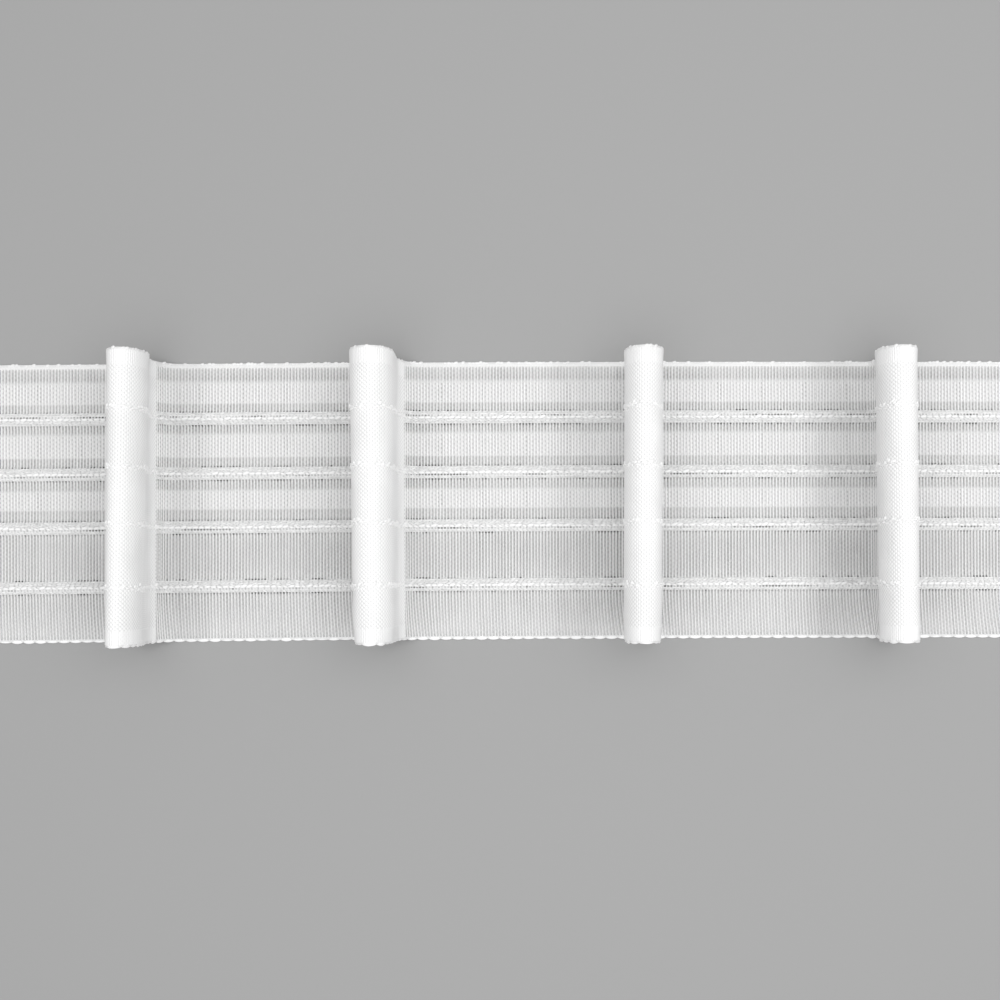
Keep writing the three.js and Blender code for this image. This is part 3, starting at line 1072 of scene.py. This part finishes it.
def make_stitches(name, lines, yarn, segments=6, rings=3, **sizes):
    """Stitches along the lines, as one piece."""
    guide = guide_lines(name + "_guides", lines)
    return grow(guide, stitch_tree(name, yarn, segments, rings), name, **sizes)


def make_channel_floats(chance, yarn):
    """The yarns that float along each channel, laid like bricks."""
    pitch = 1.25 * MM
    first_share = 0.3
    lines = []
    for row in ROWS:
        for k, offset in enumerate(row["lanes"]):
            v = (row["cord"] + offset) * MM
            for start, end in RIBBED:
                first = start + (k % 2) * pitch / 2 + chance.uniform(0, first_share) * pitch
                lines.append(along_row(first, end - ROW_END_GAP, v, CLOTH_THICKNESS))
    return make_stitches("channel_floats", lines, yarn, pitch=pitch, length=1.5 * MM, width=0.48 * MM,
                         height=0.28 * MM, stray=0.07 * MM, turn=0.22, size_spread=0.18, seed=3)


def make_channel_stitches(yarn):
    """The line of bright stitches that closes each channel."""
    lift = CLOTH_THICKNESS + 0.16 * MM
    lines = []
    for row in ROWS:
        v = (row["cord"] + row["stitch"]) * MM
        for start, end in RIBBED:
            lines.append(along_row(start + ROW_END_GAP, end - ROW_END_GAP, v, lift))
    return make_stitches("channel_stitches", lines, yarn, segments=10, rings=6, pitch=1.62 * MM,
                         length=1.55 * MM, width=0.72 * MM, height=0.55 * MM, stray=0.13 * MM, turn=0.38,
                         size_spread=0.28, seed=5)


def make_pleat_stitches(chance, yarn):
    """The uneven zigzag of stitches that crosses the pleats in line with each cord."""
    step = 0.8 * MM
    lower_turn = 0.4
    upper_turn = -0.35
    uneven = 0.25
    lift = CLOTH_THICKNESS + 0.14 * MM
    lines = []
    for row in ROWS:
        for start, end in PLEATED:
            count = int((end - start) / step)
            zigzag = np.where(np.arange(count) % 2, lower_turn, upper_turn)
            zigzag = zigzag + np.array([chance.uniform(-uneven, uneven) for _ in range(count)])
            lines.append(on_cloth(np.linspace(start, end, count), (row["cord"] + zigzag) * MM, lift))
    return make_stitches("pleat_stitches", lines, yarn, pitch=0.72 * MM, length=1.05 * MM, width=0.64 * MM,
                         height=0.62 * MM, stray=0.5 * MM, turn=0.9, size_spread=0.42, seed=7)


def make_upper_selvedge(yarn):
    """The turns of the weft round the upper edge, a chain of rounded loops."""
    inset = 0.3 * MM
    end_gap = 0.6 * MM
    count = 900
    line = on_cloth(np.linspace(end_gap, CUT_LENGTH - end_gap, count), inset, CLOTH_THICKNESS * 0.6)
    return make_stitches("upper_selvedge", [line], yarn, segments=8, rings=5, pitch=0.95 * MM,
                         length=1.15 * MM, width=0.68 * MM, height=0.5 * MM, stray=0.15 * MM, turn=0.45,
                         size_spread=0.36, seed=13)


def make_under_ties(yarn):
    """The ties that hold the cords in from below, across each channel's open side."""
    end_gap = 4 * MM
    count = 40
    centre_height = 0.09 * MM
    lines = []
    for cord in CORDS_FROM_EDGE:
        for start, end in RIBBED:
            line = on_cloth(np.linspace(start + end_gap, end - end_gap, count), cord, 0.0)
            line[:, 2] = centre_height
            lines.append(line)
    return make_stitches("under_ties", lines, yarn, segments=8, rings=4, pitch=1.7 * MM, length=0.7 * MM,
                         width=2.3 * MM, height=0.16 * MM, stray=0.0, turn=0.0, size_spread=0.06, seed=11)


def sweep(name, rings, material, weave=None):
    """A closed tube through the rings, each a row of points round it."""
    count, sides = rings.shape[:2]
    faces = []
    for i in range(count - 1):
        for k in range(sides):
            a = i * sides + k
            b = i * sides + (k + 1) % sides
            faces.append((a, a + sides, b + sides, b))
    faces.append(tuple(range(sides)))
    faces.append(tuple((count - 1) * sides + k for k in reversed(range(sides))))
    return new_piece(name, rings.reshape(-1, 3), faces, material, weave)


def angles_round(sides):
    return np.arange(sides) * 2 * math.pi / sides


def make_lower_selvedge(chance, yarn):
    """The yarn along the lower edge, which the weft draws into low uneven scallops."""
    steps = 8
    overlap = 0.08 * MM
    least_half_width = 0.12 * MM
    least_half_height = 0.16 * MM
    arch_height = 0.14 * MM
    arch_curve = 0.8
    u = np.append(np.arange(0, CUT_LENGTH, SCALLOP_PITCH / steps), CUT_LENGTH)
    stout = np.array([chance.uniform(0.45, 1.15) for _ in range(math.ceil(CUT_LENGTH / SCALLOP_PITCH) + 1)])
    arch = np.abs(np.sin(math.pi * u / SCALLOP_PITCH)) ** arch_curve * stout[(u / SCALLOP_PITCH).astype(int)]
    half_width = least_half_width + arch * SCALLOP_RISE
    half_height = least_half_height + arch * arch_height
    angle = angles_round(8)
    v = TAPE_WIDTH - SCALLOP_ROOT - overlap - half_width[:, None] * np.cos(angle)
    rings = on_cloth(u[:, None], v, CLOTH_THICKNESS / 2 + half_height[:, None] * np.sin(angle))
    rings[..., 2] = np.maximum(rings[..., 2], 0)
    return sweep("lower_selvedge", rings, yarn)


def make_drawcord(number, material):
    """A drawcord of twisted strands, straight through the channels and under the pleats."""
    twist_pitch = 3.4 * MM
    strand_relief = 0.1
    steps = 640
    end = LAID_LENGTH / 2 - 0.05 * MM
    x = np.linspace(-end, end, steps + 1)[:, None]
    angle = angles_round(12)
    turned = angle + 2 * math.pi * x / twist_pitch
    radius = CORD_RADIUS * (1 - strand_relief + strand_relief * np.cos(CORD_STRANDS * angle))
    y = across(x, CORDS_FROM_EDGE[number - 1]) + radius * np.cos(turned)
    z = CORD_LIFT + CORD_RADIUS + radius * np.sin(turned)
    xs = np.broadcast_to(x, y.shape)
    share = np.broadcast_to(angle / (2 * math.pi), y.shape)
    rings = np.stack([xs, y, z], axis=-1)
    weave = np.stack([xs, share, 0 * xs], axis=-1)
    return sweep(f"drawcord_yarn_{number}", rings, material, weave)


def mesh_tape():
    """Every piece of the tape and its cords, each attached to the root, with the CAD parts they stand in for
    hidden.
    """
    chance = random.Random(4)
    stitch_yarn = yarn_finish("stitch_yarn", STITCH_WHITE, roughness=0.55, relief=0.04 * MM, shading=0.05)
    edge_yarn = yarn_finish("selvedge_yarn", EDGE_WHITE, roughness=0.6, relief=0.05 * MM, shading=0.25)
    float_yarn = yarn_finish("float_yarn", WHITE, roughness=0.62, relief=0.05 * MM, shading=0.42)
    rib_yarn = rib_finish("weft_rib", FLAT_RIB_WHITE, BEAD_PITCH, LOWER_BAND,
                          dip_shade_share=0.12, patch_share=0.08)
    pleat_yarn = rib_finish("pleat_rib", PLEAT_WHITE, PLEAT_BEAD_PITCH, PLEAT_PLAIN_END,
                            dip_shade_share=0.6, patch_share=0.16)
    cord_yarn = cord_finish()
    cloth = make_cloth()
    woven_on = [
        make_ribs("weft_ribs_left", RIBBED[:2], chance, rib_yarn),
        make_ribs("weft_ribs_right", RIBBED[2:], chance, rib_yarn),
        make_pleat_ribs("pleat_ribs_left", PLEATED[:2], chance, pleat_yarn),
        make_pleat_ribs("pleat_ribs_right", PLEATED[2:], chance, pleat_yarn),
        make_channel_floats(chance, float_yarn),
        make_channel_stitches(stitch_yarn),
        make_pleat_stitches(chance, stitch_yarn),
        make_upper_selvedge(edge_yarn),
        make_lower_selvedge(chance, stitch_yarn),
        make_under_ties(float_yarn),
    ]
    for piece in [cloth] + woven_on:
        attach(piece, "root")
    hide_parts("heading_tape")
    for number in range(1, len(ROWS) + 1):
        cord = make_drawcord(number, cord_yarn)
        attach(cord, "root")
        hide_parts(f"drawcord_{number}")


make_camera()
make_light()
make_floor()
mesh_tape()
